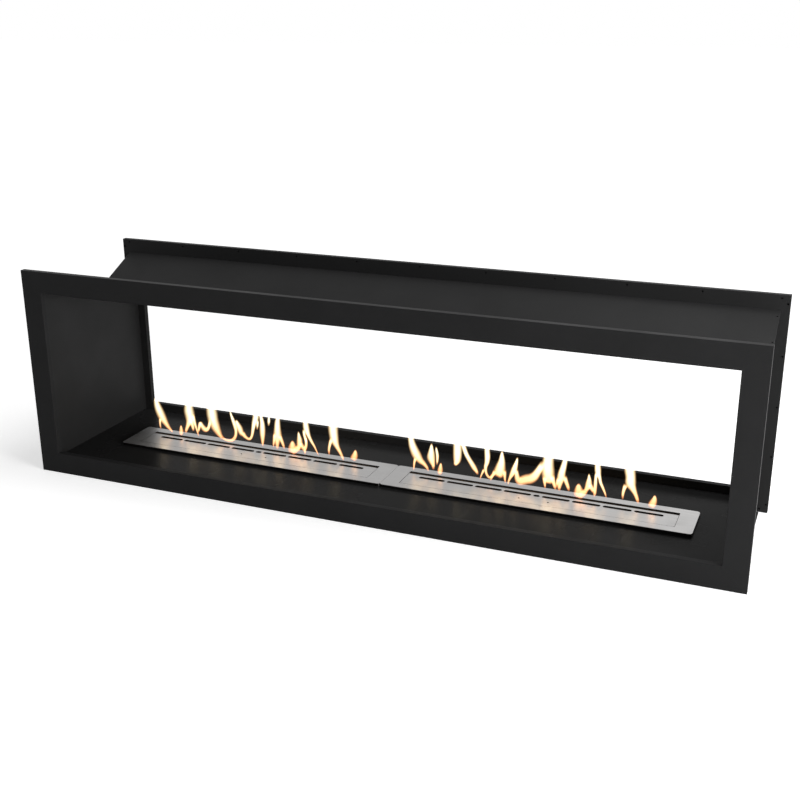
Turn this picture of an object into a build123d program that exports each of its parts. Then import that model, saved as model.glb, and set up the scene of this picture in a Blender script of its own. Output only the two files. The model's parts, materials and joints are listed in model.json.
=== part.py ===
from build123d import *
import math
import os

# Double-sided built-in fireplace: a steel tunnel open at the front and the back, with two
# drop-in fuel burners in its floor. All sizes are in millimetres.
# X runs along the fireplace, Y from the front to the back and Z up.
# The origin is the middle of the base.

# Overall size
overall_width = 1800.0
overall_height = 538.0
overall_depth = 446.0

# Trim frame round each opening, folded from sheet
trim_width = 55.0
trim_depth = 13.5
trim_sheet = 1.5
trim_bend_radius = 1.0

# Mounting flange behind each trim frame, with its fixing holes
flange_sheet = 1.5
flange_hole_radius = 2.5
row_hole_count = 11
row_edge_inset = 8.0
row_end_inset = 20.0
column_hole_count = 5
column_edge_inset = 5.5
column_end_inset = 21.0

# Side walls with outward tabs along the top and the bottom
wall_setback = 31.5
wall_sheet = 1.5
wall_tab_width = 11.5
wall_tab_relief = 4.0

# Floor pan and the channels that hold it up
floor_height = 34.0
floor_sheet = 2.0
floor_lip_depth = 20.0
support_width = 40.0
support_sheet = 2.0
end_support_inset = 62.0

# Roof: a low flat panel with a slope up to each flange, whose edge it meets above the opening
roof_centre_drop = 95.5
roof_flat_depth = 178.0
roof_flange_lap = 16.5
roof_sheet = 1.5
roof_lip = 15.0
roof_hole_radius = 2.5
roof_hole_edge_inset = 5.0
roof_hole_end_inset = 19.0

# Burner top plate, a shallow tray turned upside down on the floor
burner_end_margin = 106.35
plate_width = 130.0
plate_height = 7.0
plate_sheet = 1.5
plate_corner_radius = 8.0
plate_edge_radius = 0.8
plate_seat_clearance = 0.3
plate_gap = 0.3

# Window in the top plate
window_end_margin = 42.75
window_side_margin = 25.5
window_corner_radius = 2.0

# Sliding shutter in the window, all but level with the plate, drawn in its open place
shutter_sheet = 1.5
shutter_drop = 0.2
shutter_front_gap = 1.2
shutter_end_gap = 1.0
shutter_open_gap = 12.5
shutter_corner_radius = 3.0
shutter_clearance = 0.3

# Slots through shutter and baffle: long ones to each side of a short one
slot_width = 11.0
slot_end_margin = 33.5
short_slot_length = 16.0
slot_bridge = 5.5
long_slots_each_side = 4
slot_rear_margin = 10.5
baffle_slot_clearance = 0.5

# Holes for the hook that moves the shutter
hook_hole_radius = 2.5
hook_hole_spacing = 72.0
hook_hole_slot_distance = 28.0

# Fixed baffle that carries the shutter, with a rim at its front and ends and the flame gap behind it
baffle_sheet = 1.5
baffle_window_clearance = 0.5
baffle_rim_width = 11.5
flame_gap = 9.0

# Fuel tank round the baffle and the absorbent block in it
tank_sheet = 1.2
tank_wall_clearance = 0.8
tank_ground_clearance = 3.0
tank_rim_end_width = 7.0
tank_rim_skirt_clearance = 3.0
tank_cutout_clearance = 2.5
absorber_side_clearance = 0.5
absorber_top_clearance = 0.3

# How far every cutting shape runs past what it cuts
overrun = 5.0

# Places worked out from the sizes above
half_width = overall_width / 2
half_depth = overall_depth / 2
opening_half_width = half_width - trim_width
opening_bottom = trim_width
opening_top = overall_height - trim_width
flange_outer_y = half_depth - trim_depth
flange_inner_y = flange_outer_y - flange_sheet
wall_outer_x = half_width - wall_setback
wall_inner_x = wall_outer_x - wall_sheet
tab_outer_x = wall_outer_x + wall_tab_width
roof_centre_height = overall_height - roof_centre_drop
roof_flat_half = roof_flat_depth / 2
roof_run = flange_inner_y - roof_flat_half
roof_rise = opening_top + roof_flange_lap - roof_centre_height
roof_slope = roof_rise / roof_run
roof_angle = math.atan(roof_slope)
roof_underside = roof_centre_height - roof_sheet

# Levels in the burner, from the top down
skirt_bottom = floor_height + plate_seat_clearance
plate_top = floor_height + plate_height
plate_underside = plate_top - plate_sheet
shutter_top = plate_top - shutter_drop
shutter_bottom = shutter_top - shutter_sheet
baffle_top = shutter_bottom - shutter_clearance
baffle_bottom = baffle_top - baffle_sheet

# Lengths along the burner, which fills its half of the floor up to the end margin
plate_length = wall_inner_x - burner_end_margin - plate_gap / 2
burner_centre_x = (plate_length + plate_gap) / 2
window_length = plate_length - 2 * window_end_margin
slot_row_side = window_length / 2 - slot_end_margin - short_slot_length / 2
slot_length = slot_row_side / long_slots_each_side - slot_bridge
shutter_half_length = window_length / 2 - shutter_end_gap
baffle_inner_half_length = window_length / 2 + baffle_window_clearance
baffle_half_length = baffle_inner_half_length + baffle_rim_width
tank_inner_half_length = baffle_half_length + tank_wall_clearance
tank_half_length = tank_inner_half_length + tank_sheet

# Distances across the burner, measured from its middle
window_half_width = plate_width / 2 - window_side_margin
shutter_rear_y = window_half_width - shutter_open_gap
shutter_front_y = shutter_front_gap - window_half_width
slot_y = shutter_rear_y - slot_rear_margin - slot_width / 2
hook_hole_y = slot_y - hook_hole_slot_distance
baffle_inner_front_y = -window_half_width - baffle_window_clearance
baffle_front_y = baffle_inner_front_y - baffle_rim_width
baffle_rear_y = window_half_width - flame_gap
tank_inner_half_width = tank_wall_clearance - baffle_front_y
tank_half_width = tank_inner_half_width + tank_sheet


def block(x_low, x_high, y_low, y_high, z_low, z_high):
    """A box between two corners."""
    centre = Pos((x_low + x_high) / 2, (y_low + y_high) / 2, (z_low + z_high) / 2)
    return centre * Box(x_high - x_low, y_high - y_low, z_high - z_low)


def prism_along_x(points, x_low, x_high):
    """A prism along X whose outline is a list of (y, z) points."""
    outline = Plane.YZ.offset(x_low) * make_face(Polyline(*points, close=True))
    return extrude(outline, amount=x_high - x_low)


def prism_along_y(points, y_low, y_high):
    """A prism along Y whose outline is a list of (x, z) points."""
    outline = Plane.XZ.offset(-y_high) * make_face(Polyline(*points, close=True))
    return extrude(outline, amount=y_high - y_low)


def turned_to_back(piece):
    """The same piece at the back of the fireplace."""
    return Rot(0, 0, 180) * piece


def trim_ring():
    """The front trim frame before it is cut at its mitres."""
    tray = block(-half_width, half_width, -half_depth, -flange_outer_y, 0, overall_height)
    opening = block(
        -opening_half_width,
        opening_half_width,
        -half_depth - overrun,
        -flange_outer_y + overrun,
        opening_bottom,
        opening_top,
    )
    hollow = block(
        -half_width + trim_sheet,
        half_width - trim_sheet,
        -half_depth + trim_sheet,
        -flange_outer_y + overrun,
        trim_sheet,
        overall_height - trim_sheet,
    )
    inner_return = block(
        -opening_half_width - trim_sheet,
        opening_half_width + trim_sheet,
        -half_depth,
        -flange_outer_y + overrun,
        opening_bottom - trim_sheet,
        opening_top + trim_sheet,
    )
    ring = tray - opening - (hollow - inner_return)
    face_edges = ring.edges().group_by(Axis.Y)[0]
    return fillet(face_edges, trim_bend_radius)


def trim_members():
    """The four members of the front trim frame, cut apart along the mitres at the corners."""
    ring = trim_ring()
    left, right = -half_width, half_width
    inner_left, inner_right = -opening_half_width, opening_half_width
    outlines = {
        "top": [
            (left, overall_height),
            (right, overall_height),
            (inner_right, opening_top),
            (inner_left, opening_top),
        ],
        "bottom": [
            (left, 0),
            (right, 0),
            (inner_right, opening_bottom),
            (inner_left, opening_bottom),
        ],
        "left": [
            (left, 0),
            (left, overall_height),
            (inner_left, opening_top),
            (inner_left, opening_bottom),
        ],
        "right": [
            (right, 0),
            (right, overall_height),
            (inner_right, opening_top),
            (inner_right, opening_bottom),
        ],
    }
    return {
        side: ring & prism_along_y(points, -half_depth - overrun, -flange_outer_y + overrun)
        for side, points in outlines.items()
    }


def flange_hole_places():
    """The (x, z) centres of the fixing holes: a row along each long edge, a column up each end."""
    row_pitch = (overall_width - 2 * row_end_inset) / (row_hole_count - 1)
    column_pitch = (overall_height - 2 * column_end_inset) / (column_hole_count - 1)
    places = []
    for i in range(row_hole_count):
        x = -half_width + row_end_inset + i * row_pitch
        places.append((x, row_edge_inset))
        places.append((x, overall_height - row_edge_inset))
    for i in range(column_hole_count):
        z = column_end_inset + i * column_pitch
        places.append((-half_width + column_edge_inset, z))
        places.append((half_width - column_edge_inset, z))
    return places


def mounting_flange():
    """The front mounting flange: one flat plate round the opening."""
    middle_y = -(flange_outer_y + flange_inner_y) / 2
    plate = block(-half_width, half_width, -flange_outer_y, -flange_inner_y, 0, overall_height)
    plate -= block(
        -opening_half_width,
        opening_half_width,
        -flange_outer_y - overrun,
        -flange_inner_y + overrun,
        opening_bottom,
        opening_top,
    )
    drill = Cylinder(flange_hole_radius, flange_sheet + 2 * overrun)
    holes = [Pos(x, middle_y, z) * Rot(90, 0, 0) * drill for x, z in flange_hole_places()]
    return plate - holes


def slope_underside(y):
    """Height of a roof slope's underside at a distance y from the middle of the depth."""
    return roof_centre_height + (y - roof_flat_half) * roof_slope


def roof_hole_drills():
    """Drills for the holes along the right-hand ends of both roof slopes."""
    drill = Cylinder(roof_hole_radius, roof_sheet + wall_sheet + 2 * overrun)
    x = tab_outer_x - roof_hole_edge_inset
    drills = []
    for y in (roof_flat_half + roof_hole_end_inset, flange_inner_y - roof_hole_end_inset):
        rear = Pos(x, y, slope_underside(y)) * Rot(math.degrees(roof_angle), 0, 0) * drill
        drills.append(rear)
        drills.append(mirror(rear, Plane.XZ))
    return drills


def right_side_wall():
    """The right wall: a sheet that follows the roof, with outward tabs above and below."""
    outline = [
        (-flange_inner_y, 0),
        (flange_inner_y, 0),
        (flange_inner_y, slope_underside(flange_inner_y)),
        (roof_flat_half, roof_centre_height),
        (roof_flat_half, roof_underside),
        (-roof_flat_half, roof_underside),
        (-roof_flat_half, roof_centre_height),
        (-flange_inner_y, slope_underside(flange_inner_y)),
    ]
    wall = prism_along_x(outline, wall_inner_x, wall_outer_x)
    tab_start = roof_flat_half + wall_tab_relief
    tab_end = flange_inner_y - wall_tab_relief
    tab_drop = wall_sheet / math.cos(roof_angle)
    slope_tab = prism_along_x(
        [
            (tab_start, slope_underside(tab_start)),
            (tab_end, slope_underside(tab_end)),
            (tab_end, slope_underside(tab_end) - tab_drop),
            (tab_start, slope_underside(tab_start) - tab_drop),
        ],
        wall_inner_x,
        tab_outer_x,
    )
    flat_tab_end = roof_flat_half - wall_tab_relief
    flat_tab = block(
        wall_inner_x,
        tab_outer_x,
        -flat_tab_end,
        flat_tab_end,
        roof_underside - wall_sheet,
        roof_underside,
    )
    foot_tab = block(wall_inner_x, tab_outer_x, -tab_end, tab_end, 0, wall_sheet)
    return wall + slope_tab + mirror(slope_tab, Plane.XZ) + flat_tab + foot_tab - roof_hole_drills()


def roof_centre_panel():
    """The low flat panel in the middle of the roof."""
    return block(
        -tab_outer_x,
        tab_outer_x,
        -roof_flat_half,
        roof_flat_half,
        roof_underside,
        roof_centre_height,
    )


def rear_roof_slope():
    """The rear slope of the roof, with a lip that lies on the flat panel."""
    rise = roof_sheet / math.cos(roof_angle)
    bend_y = roof_flat_half - roof_sheet * math.tan(roof_angle / 2)
    lip_end = roof_flat_half - roof_lip
    outline = [
        (lip_end, roof_centre_height),
        (roof_flat_half, roof_centre_height),
        (flange_inner_y, slope_underside(flange_inner_y)),
        (flange_inner_y, slope_underside(flange_inner_y) + rise),
        (bend_y, roof_centre_height + roof_sheet),
        (lip_end, roof_centre_height + roof_sheet),
    ]
    slope = prism_along_x(outline, -tab_outer_x, tab_outer_x)
    drills = roof_hole_drills()
    return slope - drills - [mirror(drill, Plane.YZ) for drill in drills]


def floor_pan():
    """The floor: a sheet with a lip turned down along each long edge and two burner cut-outs."""
    floor_bottom = floor_height - floor_sheet
    lip_bottom = floor_height - floor_lip_depth
    lip_inner_y = flange_inner_y - floor_sheet
    pan = block(
        -wall_inner_x, wall_inner_x, -flange_inner_y, flange_inner_y, lip_bottom, floor_height
    )
    pan -= block(
        -wall_inner_x - overrun,
        wall_inner_x + overrun,
        -lip_inner_y,
        lip_inner_y,
        lip_bottom - overrun,
        floor_bottom,
    )
    half_length = tank_half_length + tank_cutout_clearance
    for x in (-burner_centre_x, burner_centre_x):
        pan -= block(
            x - half_length,
            x + half_length,
            -tank_half_width - tank_cutout_clearance,
            tank_half_width + tank_cutout_clearance,
            lip_bottom,
            floor_height + overrun,
        )
    return pan


def floor_support(x):
    """A channel across the depth that stands on the base and carries the floor at x."""
    half_support = support_width / 2
    lip_inner_y = flange_inner_y - floor_sheet
    top = floor_height - floor_sheet
    channel = block(x - half_support, x + half_support, -lip_inner_y, lip_inner_y, 0, top)
    return channel - block(
        x - half_support + support_sheet,
        x + half_support - support_sheet,
        -lip_inner_y - overrun,
        lip_inner_y + overrun,
        -overrun,
        top - support_sheet,
    )


def burner_slots(grown_by, z_low, z_high):
    """Cutters for the row of slots, each made wider and longer by the given amount."""
    slots = [(0, short_slot_length)]
    for i in range(long_slots_each_side):
        x = short_slot_length / 2 + slot_bridge + slot_length / 2 + i * (slot_length + slot_bridge)
        slots.append((-x, slot_length))
        slots.append((x, slot_length))
    cutters = []
    for x, length in slots:
        outline = SlotOverall(length + grown_by, slot_width + grown_by)
        cutters.append(Pos(x, slot_y, z_low) * extrude(outline, amount=z_high - z_low))
    return cutters


def burner_top_plate():
    """The stainless plate that hangs the burner in the floor, with its skirt and window."""
    half_length = plate_length / 2
    half_plate = plate_width / 2
    plate = block(-half_length, half_length, -half_plate, half_plate, skirt_bottom, plate_top)
    plate = fillet(plate.edges().filter_by(Axis.Z), plate_corner_radius)
    plate = fillet(plate.edges().group_by(Axis.Z)[-1], plate_edge_radius)
    hollow = block(
        -half_length + plate_sheet,
        half_length - plate_sheet,
        -half_plate + plate_sheet,
        half_plate - plate_sheet,
        skirt_bottom - overrun,
        plate_underside,
    )
    hollow = fillet(hollow.edges().filter_by(Axis.Z), plate_corner_radius - plate_sheet)
    window = block(
        -window_length / 2,
        window_length / 2,
        -window_half_width,
        window_half_width,
        skirt_bottom - overrun,
        plate_top + overrun,
    )
    window = fillet(window.edges().filter_by(Axis.Z), window_corner_radius)
    return plate - hollow - window


def burner_shutter():
    """The slotted shutter, open: its slots stand over those of the baffle."""
    shutter = block(
        -shutter_half_length,
        shutter_half_length,
        shutter_front_y,
        shutter_rear_y,
        shutter_bottom,
        shutter_top,
    )
    shutter = fillet(shutter.edges().filter_by(Axis.Z), shutter_corner_radius)
    shutter -= burner_slots(0, shutter_bottom - overrun, shutter_top + overrun)
    drill = Cylinder(hook_hole_radius, shutter_sheet + 2 * overrun)
    for x in (-hook_hole_spacing / 2, hook_hole_spacing / 2):
        shutter -= Pos(x, hook_hole_y, (shutter_top + shutter_bottom) / 2) * drill
    return shutter


def burner_baffle():
    """The fixed plate under the shutter, slotted like it, with a rim at its front and ends."""
    baffle = block(
        -baffle_half_length,
        baffle_half_length,
        baffle_front_y,
        baffle_rear_y,
        baffle_bottom,
        plate_underside,
    )
    baffle -= block(
        -baffle_inner_half_length,
        baffle_inner_half_length,
        baffle_inner_front_y,
        baffle_rear_y + overrun,
        baffle_top,
        plate_underside + overrun,
    )
    return baffle - burner_slots(2 * baffle_slot_clearance, baffle_bottom - overrun, baffle_top + overrun)


def burner_tank():
    """The open fuel tank with a rim that is fixed under the top plate."""
    tank = block(
        -tank_half_length,
        tank_half_length,
        -tank_half_width,
        tank_half_width,
        tank_ground_clearance,
        plate_underside,
    )
    rim_half_length = tank_half_length + tank_rim_end_width
    rim_half_width = plate_width / 2 - plate_sheet - tank_rim_skirt_clearance
    tank += block(
        -rim_half_length,
        rim_half_length,
        -rim_half_width,
        rim_half_width,
        plate_underside - tank_sheet,
        plate_underside,
    )
    return tank - block(
        -tank_inner_half_length,
        tank_inner_half_length,
        -tank_inner_half_width,
        tank_inner_half_width,
        tank_ground_clearance + tank_sheet,
        plate_underside + overrun,
    )


def burner_absorber():
    """The block of mineral fibre that soaks up the fuel."""
    half_length = tank_inner_half_length - absorber_side_clearance
    half_block = tank_inner_half_width - absorber_side_clearance
    return block(
        -half_length,
        half_length,
        -half_block,
        half_block,
        tank_ground_clearance + tank_sheet,
        baffle_bottom - absorber_top_clearance,
    )


def all_parts():
    """Every piece of the fireplace by name, in its place."""
    parts = {}
    for side, member in trim_members().items():
        opposite = {"left": "right", "right": "left"}.get(side, side)
        parts[f"front_trim_{side}"] = member
        parts[f"rear_trim_{opposite}"] = turned_to_back(member)
    parts["front_mounting_flange"] = mounting_flange()
    parts["rear_mounting_flange"] = turned_to_back(mounting_flange())
    parts["right_side_wall"] = right_side_wall()
    parts["left_side_wall"] = mirror(right_side_wall(), Plane.YZ)
    parts["roof_centre_panel"] = roof_centre_panel()
    parts["rear_roof_slope"] = rear_roof_slope()
    parts["front_roof_slope"] = turned_to_back(rear_roof_slope())
    parts["floor_pan"] = floor_pan()
    end_support_x = wall_inner_x - end_support_inset
    parts["left_floor_support"] = floor_support(-end_support_x)
    parts["centre_floor_support"] = floor_support(0)
    parts["right_floor_support"] = floor_support(end_support_x)
    for side, x in (("left", -burner_centre_x), ("right", burner_centre_x)):
        place = Pos(x, 0, 0)
        parts[f"{side}_burner_top_plate"] = place * burner_top_plate()
        parts[f"{side}_burner_shutter"] = place * burner_shutter()
        parts[f"{side}_burner_baffle"] = place * burner_baffle()
        parts[f"{side}_burner_tank"] = place * burner_tank()
        parts[f"{side}_burner_absorber"] = place * burner_absorber()
    return parts


os.makedirs("parts", exist_ok=True)
for name, piece in all_parts().items():
    export_step(piece, f"parts/{name}.step")
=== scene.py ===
import json
import math

import bmesh
import bpy
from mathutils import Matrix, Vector


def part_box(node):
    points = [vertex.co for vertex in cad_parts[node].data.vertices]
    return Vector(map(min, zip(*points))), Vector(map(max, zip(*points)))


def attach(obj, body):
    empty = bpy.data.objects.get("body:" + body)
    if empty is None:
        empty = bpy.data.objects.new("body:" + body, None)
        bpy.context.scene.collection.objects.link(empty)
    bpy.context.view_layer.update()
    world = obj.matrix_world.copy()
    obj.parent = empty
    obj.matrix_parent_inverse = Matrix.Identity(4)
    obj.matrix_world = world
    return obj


# Double-sided built-in fireplace: black powder-coated steel, two brushed stainless burners
# and their flames. Blender's lengths are metres; small lengths are given in millimetres, times MM.
MM = 0.001

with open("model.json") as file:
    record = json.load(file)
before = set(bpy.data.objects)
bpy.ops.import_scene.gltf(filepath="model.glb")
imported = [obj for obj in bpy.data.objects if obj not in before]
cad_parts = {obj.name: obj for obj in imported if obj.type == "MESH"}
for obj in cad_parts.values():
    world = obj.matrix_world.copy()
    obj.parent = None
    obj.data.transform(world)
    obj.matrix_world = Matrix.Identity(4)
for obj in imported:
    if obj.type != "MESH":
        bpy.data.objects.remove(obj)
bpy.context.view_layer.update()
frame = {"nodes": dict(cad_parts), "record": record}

# Camera: its place in metres, its angles in degrees
CAMERA_PLACE = (1.0336, -2.4336, 1.164)
CAMERA_TILT = 70.727
CAMERA_ROLL = 0.202
CAMERA_HEADING = 22.338
CAMERA_LENS = 51.14
CAMERA_SENSOR = 36.0

# Studio: a pale floor that glows a little more with distance, an even sky and soft lamps. Each lamp
# has its place, its size and its power.
FLOOR_HALF_SIZE = 30.0
FLOOR_COLOR = (0.82, 0.82, 0.82, 1.0)
FLOOR_ROUGHNESS = 0.9
FLOOR_LIFT_NEAR = 0.62
FLOOR_LIFT_FAR = 1.0
FLOOR_NEAR = 1.4
FLOOR_FAR = 4.5
SKY_LIGHT = (0.17, 0.17, 0.17, 1.0)
WHITE = (1.0, 1.0, 1.0, 1.0)
LAMPS = {
    "right_softbox": ((3.1, -1.45, 0.75), 1.2, 98.0),
    "overhead_softbox": ((1.0, 0.3, 3.2), 2.4, 70.0),
    "rear_softbox": ((0.4, 4.5, 2.1), 2.0, 6.0),
}
LAMP_TARGET = Vector((0.0, 0.0, 0.25))

# Surfaces. A range is the stretch of a noise, or of another value, that is used. A bump is its
# strength and its depth.
UNSTRETCHED = (1.0, 1.0, 1.0)
NOISE_RANGE = (0.3, 0.7)

# Powder coat: a fine grain, clouds in colour and gloss, and edges made lighter, partly as rubbed wear and
# partly as a painted highlight
COAT_GRAIN = 1400.0
COAT_CLOUDS = 7.0
COAT_CLOUD_SHARES = (0.95, 1.05)
COAT_CLOUD_RANGE = (0.35, 0.65)
COAT_GLOSS_SWING = 0.05
COAT_BUMP = (0.25, 0.15 * MM)
WEAR_AND_HIGHLIGHT_RADIUS = 0.8 * MM
WEAR_AND_HIGHLIGHT_RANGE = (0.98, 0.8)

# Brushed steel: scratches along X, smudges, and painted shade on the faces that face the front or the back
BRUSH_STRETCH = (1.0, 60.0, 60.0)
BRUSH_SCRATCHES = 45.0
BRUSH_BANDS = 9.0
BRUSH_SMUDGES = 14.0
BRUSH_SMUDGE_RANGE = (0.4, 0.7)
BRUSH_GLOSS_SWING = 0.06
BRUSH_BUMP = (0.12, 0.02 * MM)
PAINTED_SHADE_RANGE = (0.5, 0.8)

# Fibre: two tones of its tufts, both dark brown, partly heat-browning and partly painted shade in the slots
# over it
FIBRE_TUFTS = 220.0
FIBRE_RANGE = (0.35, 0.7)
FIBRE_BUMP = (0.8, 1.5 * MM)
FIBRE_DARK = (0.08, 0.065, 0.052, 1.0)
FIBRE_LIGHT = (0.16, 0.133, 0.106, 1.0)

# Finishes. A coat has its colour, the colour of its edges (partly rubbed wear, partly a painted highlight),
# its roughness and its gloss. A steel has its colour, the colours of its scratches and of its faces that
# face the front or the back (painted shade), and its roughness.
COATS = {
    "trim_black": ((0.0208, 0.0208, 0.0212), (0.027, 0.027, 0.0276), 0.48, 0.035),
    # The rear trim's coat is the trim's coat made darker: painted shade.
    "rear_trim_painted_shade_black": ((0.014, 0.014, 0.0143), (0.02, 0.02, 0.0204), 0.5, 0.04),
    "casing_black": ((0.0205, 0.0205, 0.0207), (0.03, 0.03, 0.031), 0.5, 0.06),
    "floor_black": ((0.026, 0.026, 0.0262), (0.03, 0.03, 0.031), 0.26, 0.015),
}
STEELS = {
    "stainless": ((0.4, 0.394, 0.39), (0.35, 0.345, 0.341), (0.025, 0.023, 0.021), 0.33),
    "tank_steel": ((0.2, 0.18, 0.165), (0.12, 0.105, 0.095), (0.03, 0.026, 0.022), 0.42),
}

# The finish of each slot that the record names; the floor has its own, and the rear trim a darker copy of
# the coat as painted shade
SLOT_FINISHES = {
    "black_trim": "trim_black",
    "black_casing": "casing_black",
    "brushed_steel": "stainless",
    "burner_steel": "tank_steel",
    "absorber_fibre": "fibre",
}

# Flames: strands for each burner, in their order along it. A strand is a list of places from its tip
# down: distance along the burner from its middle, height above the base and width, in millimetres.
LEFT_FLAMES = {
    "swoosh": [(-329, 145, 4), (-327, 133, 14), (-324, 118, 20), (-319, 102, 23), (-312, 85, 22),
               (-304, 72, 16), (-296, 61, 11), (-287, 52, 6), (-283, 46, 3)],
    "swoosh_foot": [(-316, 86, 9), (-319, 76, 7), (-320, 64, 5), (-319, 52, 3)],
    "spark_a": [(-251, 75, 3), (-251, 66, 9), (-251, 57, 13), (-252, 50, 11), (-253, 44, 6)],
    "mantle": [(-222, 165, 8), (-224, 145, 18), (-226, 122, 27), (-224, 103, 27), (-226, 88, 20),
               (-232, 74, 12), (-237, 62, 9), (-240, 51, 5)],
    "mantle_fold": [(-221, 98, 16), (-218, 84, 14), (-216, 70, 9), (-216, 60, 5)],
    "mantle_tail": [(-212, 112, 12), (-208, 95, 10), (-204, 78, 7), (-200, 62, 5), (-197, 48, 4)],
    "saddle": [(-198, 60, 5), (-194, 75, 9), (-190, 88, 10), (-185, 82, 12), (-179, 75, 15),
               (-172, 72, 14), (-165, 78, 10), (-161, 90, 9), (-159, 104, 10)],
    "pillar": [(-157, 190, 6), (-156, 165, 15), (-154, 142, 25), (-153, 122, 30), (-151, 102, 29),
               (-145, 84, 26), (-137, 69, 19), (-129, 58, 12), (-118, 51, 8)],
    "loop_a": [(-124, 54, 7), (-115, 50, 7), (-105, 49, 8), (-96, 51, 10), (-88, 57, 10), (-82, 68, 9),
               (-80, 82, 9), (-82, 97, 11), (-86, 112, 10), (-91, 128, 6), (-94, 142, 3)],
    "shoulder": [(-77, 114, 5), (-73, 104, 12), (-67, 92, 17), (-62, 80, 15), (-57, 71, 12)],
    "loop_b": [(-61, 80, 13), (-55, 72, 12), (-49, 67, 9), (-42, 64, 8), (-36, 66, 8), (-31, 76, 8),
               (-28, 92, 10), (-24, 110, 14), (-19, 126, 18), (-17, 146, 14), (-17, 168, 5)],
    "loop_leg": [(-12, 122, 8), (-14, 107, 7), (-16, 92, 4)],
    "blade": [(-3, 158, 3), (0, 136, 9), (3, 118, 13), (3, 100, 16), (2, 84, 15), (1, 69, 11),
              (0, 57, 7), (0, 47, 3)],
    "ember": [(22, 139, 4), (22, 124, 8), (21, 109, 4)],
    "fork": [(55, 170, 4), (50, 143, 9), (46, 123, 15), (45, 103, 19), (45, 86, 23), (44, 72, 18),
             (44, 58, 11), (45, 46, 6)],
    "fork_left": [(38, 90, 11), (35, 75, 9), (32, 60, 6), (31, 48, 3)],
    "fork_right": [(52, 90, 13), (58, 76, 11), (63, 62, 8), (66, 49, 4)],
    "bud": [(91, 79, 4), (91, 68, 17), (91, 57, 25), (91, 48, 25), (89, 42, 15)],
    "bud_bridge": [(93, 48, 10), (98, 52, 16), (103, 58, 16), (107, 66, 8)],
    "spire": [(109, 107, 2), (110, 95, 9), (111, 83, 15), (110, 71, 16), (107, 59, 12), (103, 48, 7)],
    "spire_lobe": [(113, 78, 11), (119, 68, 13), (126, 61, 12), (131, 70, 9), (132, 84, 8), (130, 98, 8)],
    "spire_foot": [(126, 62, 9), (127, 53, 7), (127, 45, 3)],
    "stalk": [(127, 185, 4), (128, 160, 9), (130, 138, 14), (131, 120, 17), (134, 106, 14),
              (139, 93, 10), (146, 80, 8), (153, 69, 6), (159, 57, 4), (165, 45, 3)],
    "stalk_foot": [(126, 116, 9), (127, 99, 8), (130, 85, 7), (131, 71, 5)],
    "stride": [(203, 185, 8), (206, 158, 19), (209, 134, 26), (211, 115, 25), (214, 98, 23),
               (221, 82, 14), (229, 68, 10), (236, 54, 7), (239, 45, 4)],
    "stride_foot": [(204, 100, 12), (199, 84, 9), (196, 68, 7), (197, 52, 4)],
    "spark_b": [(271, 78, 3), (270, 69, 12), (268, 60, 18), (265, 53, 19), (262, 47, 12)],
}
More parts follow.
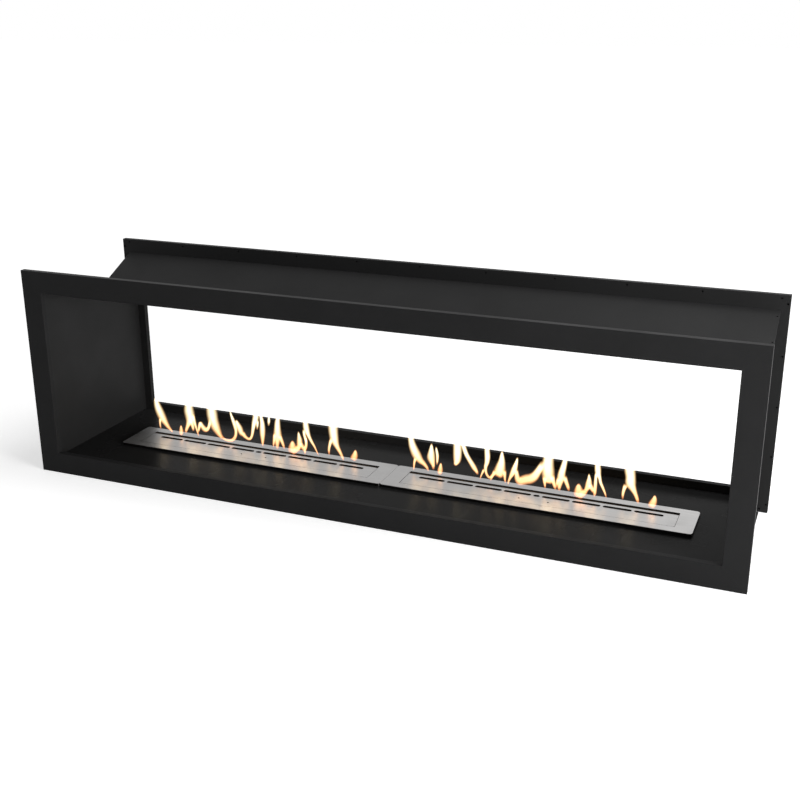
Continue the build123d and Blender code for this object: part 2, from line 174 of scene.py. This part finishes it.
RIGHT_FLAMES = {
    "swoosh": [(-338, 174, 4), (-337, 150, 12), (-333, 122, 18), (-328, 105, 22), (-320, 88, 24),
               (-311, 76, 18), (-301, 68, 12), (-293, 59, 8), (-288, 49, 4)],
    "swoosh_foot": [(-321, 84, 10), (-325, 71, 7), (-327, 57, 5), (-328, 46, 3)],
    "leaf": [(-280, 127, 3), (-280, 114, 11), (-280, 102, 18), (-280, 91, 22), (-277, 80, 17),
             (-274, 70, 10), (-273, 58, 5)],
    "leaf_side": [(-269, 119, 3), (-267, 107, 7), (-265, 95, 8), (-265, 82, 6), (-266, 70, 3)],
    "spark_a": [(-255, 78, 3), (-256, 69, 9), (-257, 59, 14), (-258, 51, 13), (-258, 44, 6)],
    "banner": [(-214, 190, 6), (-212, 165, 15), (-211, 140, 21), (-210, 120, 23), (-210, 103, 22),
               (-211, 92, 19), (-214, 84, 12), (-217, 78, 6)],
    "banner_tail": [(-203, 150, 10), (-196, 130, 12), (-189, 113, 12), (-181, 100, 12), (-173, 89, 13),
                    (-166, 79, 13), (-160, 71, 9), (-156, 63, 5)],
    "hook": [(-134, 178, 6), (-134, 152, 12), (-135, 131, 14), (-134, 113, 15), (-135, 98, 13),
             (-138, 86, 10), (-138, 76, 8), (-135, 66, 7), (-129, 59, 7), (-124, 60, 7), (-120, 69, 8)],
    "hook_foot": [(-141, 80, 7), (-145, 70, 6), (-149, 60, 4), (-152, 49, 3)],
    "cone": [(-96, 135, 3), (-96, 122, 11), (-96, 108, 18), (-98, 95, 25), (-100, 83, 30),
             (-103, 73, 29), (-106, 65, 16)],
    "cone_left": [(-112, 79, 14), (-117, 69, 9), (-121, 60, 6), (-124, 52, 4)],
    "cone_right": [(-91, 83, 13), (-89, 71, 9), (-88, 60, 6), (-86, 49, 4)],
    "spire_c": [(-56, 125, 3), (-58, 113, 8), (-61, 101, 13), (-64, 90, 16), (-69, 78, 13),
                (-74, 67, 8), (-78, 56, 5), (-79, 47, 3)],
    "bowl": [(-59, 92, 10), (-57, 80, 12), (-54, 69, 16), (-48, 63, 21), (-40, 67, 25), (-31, 71, 26),
             (-22, 74, 26), (-13, 81, 24), (-6, 92, 20), (1, 105, 18), (8, 122, 14)],
    "torch": [(12, 205, 8), (16, 178, 17), (19, 152, 23), (19, 131, 27), (18, 113, 31), (19, 98, 33),
              (21, 84, 31), (22, 73, 25), (22, 66, 14)],
    "torch_left": [(13, 83, 15), (12, 71, 10), (13, 61, 6), (14, 51, 3)],
    "torch_right": [(30, 91, 15), (34, 77, 12), (38, 65, 9), (41, 53, 5)],
    "fork": [(66, 185, 5), (63, 155, 10), (60, 132, 13), (57, 115, 16), (54, 100, 19), (53, 88, 21),
             (51, 76, 16), (50, 64, 10), (50, 53, 6)],
    "fork_left": [(46, 85, 11), (43, 71, 7), (42, 58, 5)],
    "fork_right": [(60, 93, 13), (65, 79, 11), (70, 66, 9), (73, 54, 5)],
    "bud": [(97, 81, 4), (97, 70, 17), (98, 59, 25), (98, 49, 25), (96, 42, 15)],
    "bud_bridge": [(101, 49, 10), (106, 54, 16), (111, 60, 16), (115, 68, 8)],
    "spire": [(119, 108, 2), (120, 96, 9), (120, 86, 15), (119, 76, 17), (115, 66, 12), (111, 56, 8)],
    "spire_lobe": [(121, 82, 12), (126, 75, 13), (131, 68, 11), (134, 60, 8)],
    "stalk": [(130, 195, 4), (134, 168, 9), (138, 143, 13), (140, 124, 16), (142, 112, 14),
              (146, 102, 9), (149, 91, 8), (155, 79, 7), (161, 66, 5), (165, 54, 3)],
    "stalk_foot": [(137, 113, 9), (136, 99, 8), (136, 86, 9), (136, 73, 9), (136, 61, 8), (135, 51, 4)],
    "stride": [(209, 188, 8), (212, 161, 18), (215, 136, 26), (218, 116, 25), (219, 99, 26),
               (225, 86, 17), (231, 74, 11), (236, 62, 9), (240, 49, 5)],
    "stride_foot": [(209, 97, 13), (205, 83, 9), (203, 70, 7), (203, 55, 4)],
    "spark_b": [(277, 80, 3), (277, 71, 12), (275, 62, 18), (272, 54, 19), (269, 47, 12)],
}
FLAMES = {"left": LEFT_FLAMES, "right": RIGHT_FLAMES}

# Where the flames stand, behind the burners' middle and above the base, and how a strand becomes
# sheets: their width against the strand's, the steps to each of its spans, their heat from edge to
# edge, their turns about its spine, the steps in which their heat fades at the tip and at the foot,
# their least width, and the strand's sway in depth
FLAME_DEPTH = 34.0
FLAME_BASE = 41.5
FLAME_SPREAD = 1.06
FLAME_SPAN_STEPS = 6
FLAME_EDGE_SHARES = (0.0, 0.75, 1.0, 1.0, 1.0, 0.75, 0.0)
FLAME_SHEET_TURNS = (-32.0, 0.0, 32.0)
FLAME_TIP_STEPS = 3.0
FLAME_FOOT_STEPS = 5.0
FLAME_LEAST_WIDTH = 0.5
FLAME_WAVE = 3.0
FLAME_WAVE_LENGTH = 40.0
FLAME_WAVE_STEP = 1.7

# How the flames glow: duller near their feet, and from orange to near white with height and heat
FLAME_STRENGTH = 12.0
FLAME_BODY = 0.054
FLAME_COOL_HEIGHT = 42.0
FLAME_COOL_SPAN = 40.0
FLAME_COOL_SHARE = 0.75
FLAME_HUE_LOW = 48.0
FLAME_HUE_HIGH = 112.0
FLAME_HEIGHT_WARMTH = 0.5
FLAME_HEAT_WARMTH = 0.5
FLAME_FOOT_HUE = (1.0, 0.27, 0.08, 1.0)
FLAME_HEART_HUE = (1.0, 0.92, 0.64, 1.0)
FLAME_HUES_BETWEEN = {0.38: (1.0, 0.43, 0.16, 1.0), 0.7: (1.0, 0.69, 0.34, 1.0)}


def new_material(name):
    """A node material and its main shader."""
    material = bpy.data.materials.new(name)
    material.use_nodes = True
    return material, material.node_tree, material.node_tree.nodes["Principled BSDF"]


def add_node(tree, kind, inputs=None, **settings):
    """One node, with its inputs and its properties set by name."""
    node = tree.nodes.new(kind)
    for name, value in settings.items():
        setattr(node, name, value)
    for name, value in (inputs or {}).items():
        node.inputs[name].default_value = value
    return node


def stretched_place(tree, scale):
    """Object coordinates, stretched along each axis by scale."""
    place = add_node(tree, "ShaderNodeTexCoord")
    mapping = add_node(tree, "ShaderNodeMapping", inputs={"Scale": scale})
    tree.links.new(place.outputs["Object"], mapping.inputs["Vector"])
    return mapping.outputs["Vector"]


def noise_at(tree, place, scale, detail=2.0, roughness=0.5):
    """A noise value, from 0 to 1, at a place."""
    noise = add_node(
        tree, "ShaderNodeTexNoise", inputs={"Scale": scale, "Detail": detail, "Roughness": roughness}
    )
    tree.links.new(place, noise.inputs["Vector"])
    return noise.outputs["Fac"]


def ranged(tree, value, low, high, out_low, out_high):
    """A value taken from one range to another, and held inside it."""
    mapped = add_node(
        tree,
        "ShaderNodeMapRange",
        inputs={"From Min": low, "From Max": high, "To Min": out_low, "To Max": out_high},
    )
    tree.links.new(value, mapped.inputs["Value"])
    return mapped.outputs["Result"]


def mixed_color(tree, factor, first, second):
    """A mix of two colours, each a constant or a socket."""
    mix = add_node(tree, "ShaderNodeMix", data_type="RGBA")
    colors = [s for s in mix.inputs if s.type == "RGBA"]
    for socket, color in zip(colors, (first, second)):
        if isinstance(color, bpy.types.NodeSocket):
            tree.links.new(color, socket)
        else:
            socket.default_value = color
    tree.links.new(factor, mix.inputs["Factor"])
    return next(s for s in mix.outputs if s.type == "RGBA")


def bumped(tree, height, strength, distance):
    """A normal that follows a height."""
    bump = add_node(tree, "ShaderNodeBump", inputs={"Strength": strength, "Distance": distance})
    tree.links.new(height, bump.inputs["Height"])
    return bump.outputs["Normal"]


def edge_wear_and_highlight(tree):
    """1 on edges and 0 on flat faces, from how far a rounded normal leaves the true one: the mask of the
    edges' wear and painted highlight.
    """
    bevel = add_node(tree, "ShaderNodeBevel", inputs={"Radius": WEAR_AND_HIGHLIGHT_RADIUS})
    geometry = add_node(tree, "ShaderNodeNewGeometry")
    dot = add_node(tree, "ShaderNodeVectorMath", operation="DOT_PRODUCT")
    tree.links.new(bevel.outputs["Normal"], dot.inputs[0])
    tree.links.new(geometry.outputs["Normal"], dot.inputs[1])
    return ranged(tree, dot.outputs["Value"], *WEAR_AND_HIGHLIGHT_RANGE, 0.0, 1.0)


def powder_coat(name, color, wear_and_highlight_color, roughness, specular):
    """Fine matt black powder coat: a grainy skin, faint clouds, and edges lightened partly as rubbed wear
    and partly as a painted highlight.
    """
    material, tree, shader = new_material(name)
    place = stretched_place(tree, UNSTRETCHED)
    grain = noise_at(tree, place, COAT_GRAIN, detail=3.0)
    clouds = noise_at(tree, place, COAT_CLOUDS, detail=4.0)
    tones = [tuple(c * share for c in color) + (1.0,) for share in COAT_CLOUD_SHARES]
    base = mixed_color(tree, ranged(tree, clouds, *COAT_CLOUD_RANGE, 0.0, 1.0), *tones)
    # Edges take a lighter colour: partly rubbed wear, partly a painted highlight.
    base = mixed_color(tree, edge_wear_and_highlight(tree), base, wear_and_highlight_color + (1.0,))
    tree.links.new(base, shader.inputs["Base Color"])
    matt, glossy = roughness + COAT_GLOSS_SWING, roughness - COAT_GLOSS_SWING
    tree.links.new(ranged(tree, clouds, *NOISE_RANGE, matt, glossy), shader.inputs["Roughness"])
    tree.links.new(bumped(tree, grain, *COAT_BUMP), shader.inputs["Normal"])
    shader.inputs["Specular IOR Level"].default_value = specular
    return material


def brushed_stainless(name, color, dark_color, painted_shade_color, roughness):
    """Stainless steel brushed along X: long fine scratches, smudges, and painted shade on cut edges and
    other faces that face the front or the back.
    """
    material, tree, shader = new_material(name)
    long_place = stretched_place(tree, BRUSH_STRETCH)
    fine = noise_at(tree, long_place, BRUSH_SCRATCHES, detail=4.0, roughness=0.7)
    broad = noise_at(tree, long_place, BRUSH_BANDS, detail=2.0)
    smudges = noise_at(tree, stretched_place(tree, UNSTRETCHED), BRUSH_SMUDGES, detail=3.0)
    tones = (dark_color + (1.0,), color + (1.0,))
    tone = mixed_color(tree, ranged(tree, fine, *NOISE_RANGE, 0.0, 1.0), *tones)
    # Faces that face the front or the back take a dark colour: painted shade.
    geometry = add_node(tree, "ShaderNodeNewGeometry")
    direction = add_node(tree, "ShaderNodeSeparateXYZ")
    tree.links.new(geometry.outputs["True Normal"], direction.inputs["Vector"])
    sideways = add_node(tree, "ShaderNodeMath", operation="ABSOLUTE")
    tree.links.new(direction.outputs["Y"], sideways.inputs[0])
    painted_shade_mask = ranged(tree, sideways.outputs["Value"], *PAINTED_SHADE_RANGE, 0.0, 1.0)
    tone = mixed_color(tree, painted_shade_mask, tone, painted_shade_color + (1.0,))
    tree.links.new(tone, shader.inputs["Base Color"])
    glossy, matt = roughness - BRUSH_GLOSS_SWING, roughness + BRUSH_GLOSS_SWING
    scratched = ranged(tree, broad, *NOISE_RANGE, glossy, matt)
    smudged = add_node(tree, "ShaderNodeMath", operation="ADD")
    tree.links.new(scratched, smudged.inputs[0])
    tree.links.new(ranged(tree, smudges, *BRUSH_SMUDGE_RANGE, 0.0, BRUSH_GLOSS_SWING), smudged.inputs[1])
    tree.links.new(smudged.outputs["Value"], shader.inputs["Roughness"])
    tree.links.new(bumped(tree, fine, *BRUSH_BUMP), shader.inputs["Normal"])
    shader.inputs["Metallic"].default_value = 1.0
    return material


def ceramic_fibre(name):
    """Mineral wool in dark brown tones: partly browned by heat, partly darkened as painted shade in the
    slots over it.
    """
    material, tree, shader = new_material(name)
    place = stretched_place(tree, UNSTRETCHED)
    tufts = noise_at(tree, place, FIBRE_TUFTS, detail=6.0, roughness=0.7)
    base = mixed_color(tree, ranged(tree, tufts, *FIBRE_RANGE, 0.0, 1.0), FIBRE_DARK, FIBRE_LIGHT)
    tree.links.new(base, shader.inputs["Base Color"])
    tree.links.new(bumped(tree, tufts, *FIBRE_BUMP), shader.inputs["Normal"])
    shader.inputs["Roughness"].default_value = 0.95
    shader.inputs["Specular IOR Level"].default_value = 0.1
    return material


def flame_fire(name):
    """Burning vapour: thin and orange at its edges and foot, near white above and at its heart."""
    material, tree, shader = new_material(name)
    heat = add_node(tree, "ShaderNodeAttribute", attribute_name="fire_heat")
    place = add_node(tree, "ShaderNodeTexCoord")
    height = add_node(tree, "ShaderNodeSeparateXYZ")
    tree.links.new(place.outputs["Object"], height.inputs["Vector"])
    low, high = FLAME_HUE_LOW * MM, FLAME_HUE_HIGH * MM
    warmth = add_node(tree, "ShaderNodeMath", operation="ADD")
    tree.links.new(ranged(tree, height.outputs["Z"], low, high, 0.0, FLAME_HEIGHT_WARMTH), warmth.inputs[0])
    tree.links.new(ranged(tree, heat.outputs["Fac"], 0.0, 1.0, 0.0, FLAME_HEAT_WARMTH), warmth.inputs[1])
    hue = add_node(tree, "ShaderNodeValToRGB")
    stops = hue.color_ramp.elements
    stops[0].color = FLAME_FOOT_HUE
    stops[1].color = FLAME_HEART_HUE
    for position, color in FLAME_HUES_BETWEEN.items():
        stops.new(position).color = color
    tree.links.new(warmth.outputs["Value"], hue.inputs["Fac"])
    tree.links.new(hue.outputs["Color"], shader.inputs["Emission Color"])
    shader.inputs["Emission Strength"].default_value = FLAME_STRENGTH
    tree.links.new(ranged(tree, heat.outputs["Fac"], 0.0, 1.0, 0.0, FLAME_BODY), shader.inputs["Alpha"])
    shader.inputs["Base Color"].default_value = (0.0, 0.0, 0.0, 1.0)
    shader.inputs["Specular IOR Level"].default_value = 0.0
    shader.inputs["Roughness"].default_value = 1.0
    return material


def smooth_spine(points, steps):
    """Points on a smooth curve through the given ones, with steps to each span."""
    vectors = [Vector(p) for p in points]
    padded = [2 * vectors[0] - vectors[1], *vectors, 2 * vectors[-1] - vectors[-2]]
    line = []
    for i in range(len(vectors) - 1):
        a, b, c, d = padded[i : i + 4]
        for k in range(steps):
            t = k / steps
            near = 2 * b + (c - a) * t + (2 * a - 5 * b + 4 * c - d) * t**2
            line.append(0.5 * (near + (3 * b - a - 3 * c + d) * t**3))
    line.append(vectors[-1])
    return line


def flame_tongue(name, points, middle_x, phase):
    """One tongue of flame: three curved sheets that cross along its spine and thin out to their edges."""
    spine = smooth_spine(points, FLAME_SPAN_STEPS)
    mesh = bpy.data.meshes.new(name)
    maker = bmesh.new()
    heat = maker.verts.layers.float.new("fire_heat")
    last = len(spine) - 1
    for turn in FLAME_SHEET_TURNS:
        angle = math.radians(turn)
        rows = []
        for i, point in enumerate(spine):
            ahead = spine[min(i + 1, last)] - spine[max(i - 1, 0)]
            along = Vector((ahead.x, ahead.y)).normalized()
            wave = math.sin(phase + point.y / FLAME_WAVE_LENGTH) * FLAME_WAVE
            centre = Vector((middle_x + point.x * MM, (FLAME_DEPTH + wave) * MM, point.y * MM))
            across = Vector((along.y * math.cos(angle), math.sin(angle), -along.x * math.cos(angle)))
            half_width = max(point.z, FLAME_LEAST_WIDTH) / 2 * MM * FLAME_SPREAD
            ends = min(i / FLAME_TIP_STEPS, (last - i) / FLAME_FOOT_STEPS, 1.0)
            low = min(max((point.y - FLAME_COOL_HEIGHT) / FLAME_COOL_SPAN, 0.0), 1.0)
            row = []
            for k, edge in enumerate(FLAME_EDGE_SHARES):
                side = 2.0 * k / (len(FLAME_EDGE_SHARES) - 1) - 1.0
                place = centre + across * half_width * side
                place.z = max(place.z, FLAME_BASE * MM)
                vertex = maker.verts.new(place)
                vertex[heat] = edge * ends * (FLAME_COOL_SHARE + (1 - FLAME_COOL_SHARE) * low)
                row.append(vertex)
            rows.append(row)
        for first, second in zip(rows, rows[1:]):
            for k in range(len(first) - 1):
                maker.faces.new((first[k], first[k + 1], second[k + 1], second[k]))
    maker.to_mesh(mesh)
    maker.free()
    mesh.polygons.foreach_set("use_smooth", [True] * len(mesh.polygons))
    flame = bpy.data.objects.new(name, mesh)
    bpy.context.scene.collection.objects.link(flame)
    return flame


def join_meshes(objects, name):
    """One object from several, with their vertex values kept."""
    with bpy.context.temp_override(active_object=objects[0], selected_editable_objects=objects):
        bpy.ops.object.join()
    objects[0].name = name
    objects[0].data.name = name
    return objects[0]


def burner_flames(side, material):
    """All flames of one burner, as one piece that moves with it."""
    low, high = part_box(f"{side}_burner_top_plate")
    middle_x = (low.x + high.x) / 2
    tongues = []
    for number, (name, points) in enumerate(FLAMES[side].items()):
        tongue = flame_tongue(f"{side}_{name}", points, middle_x, number * FLAME_WAVE_STEP)
        tongue.data.materials.append(material)
        tongues.append(tongue)
    flames = join_meshes(tongues, f"{side}_burner_flames")
    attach(flames, f"{side}_burner")


def dress(nodes, material):
    """Gives CAD nodes their material."""
    for name in nodes:
        data = frame["nodes"][name].data
        data.materials.clear()
        data.materials.append(material)


def dressed_nodes(slot):
    """The CAD nodes whose finish the record names slot."""
    return [p["node"] for p in frame["record"]["subparts"] if p["material_slot"] == slot]


def make_camera():
    """A camera at the photograph's viewing angle."""
    data = bpy.data.cameras.new("camera")
    data.lens = CAMERA_LENS
    data.sensor_width = CAMERA_SENSOR
    camera = bpy.data.objects.new("camera", data)
    camera.location = CAMERA_PLACE
    camera.rotation_euler = [math.radians(a) for a in (CAMERA_TILT, CAMERA_ROLL, CAMERA_HEADING)]
    bpy.context.scene.collection.objects.link(camera)
    bpy.context.scene.camera = camera


def seen_by_eye(tree):
    """1 for rays that a viewer sees, straight, mirrored or through glass, and 0 for light on things."""
    path = add_node(tree, "ShaderNodeLightPath")
    total = path.outputs["Is Camera Ray"]
    for name in ("Is Glossy Ray", "Is Transmission Ray"):
        larger = add_node(tree, "ShaderNodeMath", operation="MAXIMUM")
        tree.links.new(total, larger.inputs[0])
        tree.links.new(path.outputs[name], larger.inputs[1])
        total = larger.outputs["Value"]
    return total


def make_sky():
    """An even sky: white to look at, and softer as light."""
    world = bpy.data.worlds.new("studio")
    bpy.context.scene.world = world
    world.use_nodes = True
    tree = world.node_tree
    background = tree.nodes["Background"]
    color = mixed_color(tree, seen_by_eye(tree), SKY_LIGHT, WHITE)
    tree.links.new(color, background.inputs["Color"])


def make_floor():
    """A wide pale floor that keeps the object's shadow."""
    mesh = bpy.data.meshes.new("studio_floor")
    size = FLOOR_HALF_SIZE
    corners = [(-size, -size, 0), (size, -size, 0), (size, size, 0), (-size, size, 0)]
    mesh.from_pydata(corners, [], [(0, 1, 2, 3)])
    floor = bpy.data.objects.new("studio_floor", mesh)
    bpy.context.scene.collection.objects.link(floor)
    material, tree, shader = new_material("studio_floor_paint")
    shader.inputs["Base Color"].default_value = FLOOR_COLOR
    shader.inputs["Roughness"].default_value = FLOOR_ROUGHNESS
    shader.inputs["Specular IOR Level"].default_value = 0.0
    shader.inputs["Emission Color"].default_value = WHITE
    place = add_node(tree, "ShaderNodeTexCoord")
    reach = add_node(tree, "ShaderNodeVectorMath", operation="LENGTH")
    tree.links.new(place.outputs["Object"], reach.inputs[0])
    lift = ranged(tree, reach.outputs["Value"], FLOOR_NEAR, FLOOR_FAR, FLOOR_LIFT_NEAR, FLOOR_LIFT_FAR)
    seen_lift = add_node(tree, "ShaderNodeMath", operation="MULTIPLY")
    tree.links.new(lift, seen_lift.inputs[0])
    tree.links.new(seen_by_eye(tree), seen_lift.inputs[1])
    tree.links.new(seen_lift.outputs["Value"], shader.inputs["Emission Strength"])
    mesh.materials.append(material)


def make_lamps():
    """Large soft lamps."""
    for name, (place, size, power) in LAMPS.items():
        data = bpy.data.lights.new(name, "AREA")
        data.shape = "DISK"
        data.size = size
        data.energy = power
        lamp = bpy.data.objects.new(name, data)
        lamp.location = place
        lamp.rotation_euler = (LAMP_TARGET - Vector(place)).to_track_quat("-Z", "Y").to_euler()
        bpy.context.scene.collection.objects.link(lamp)


finishes = {name: powder_coat(name, *looks) for name, looks in COATS.items()}
finishes |= {name: brushed_stainless(name, *looks) for name, looks in STEELS.items()}
finishes["fibre"] = ceramic_fibre("fibre")
fire = flame_fire("fire")

for slot, finish in SLOT_FINISHES.items():
    dress(dressed_nodes(slot), finishes[finish])
dress(["floor_pan"], finishes["floor_black"])
# The rear trim takes the darker copy of the coat: painted shade.
dress([f"rear_trim_{edge}" for edge in ("top", "bottom", "left", "right")], finishes["rear_trim_painted_shade_black"])
for side in ("left", "right"):
    burner_flames(side, fire)

make_camera()
make_sky()
make_floor()
make_lamps()
bpy.context.scene.view_settings.view_transform = "Standard"
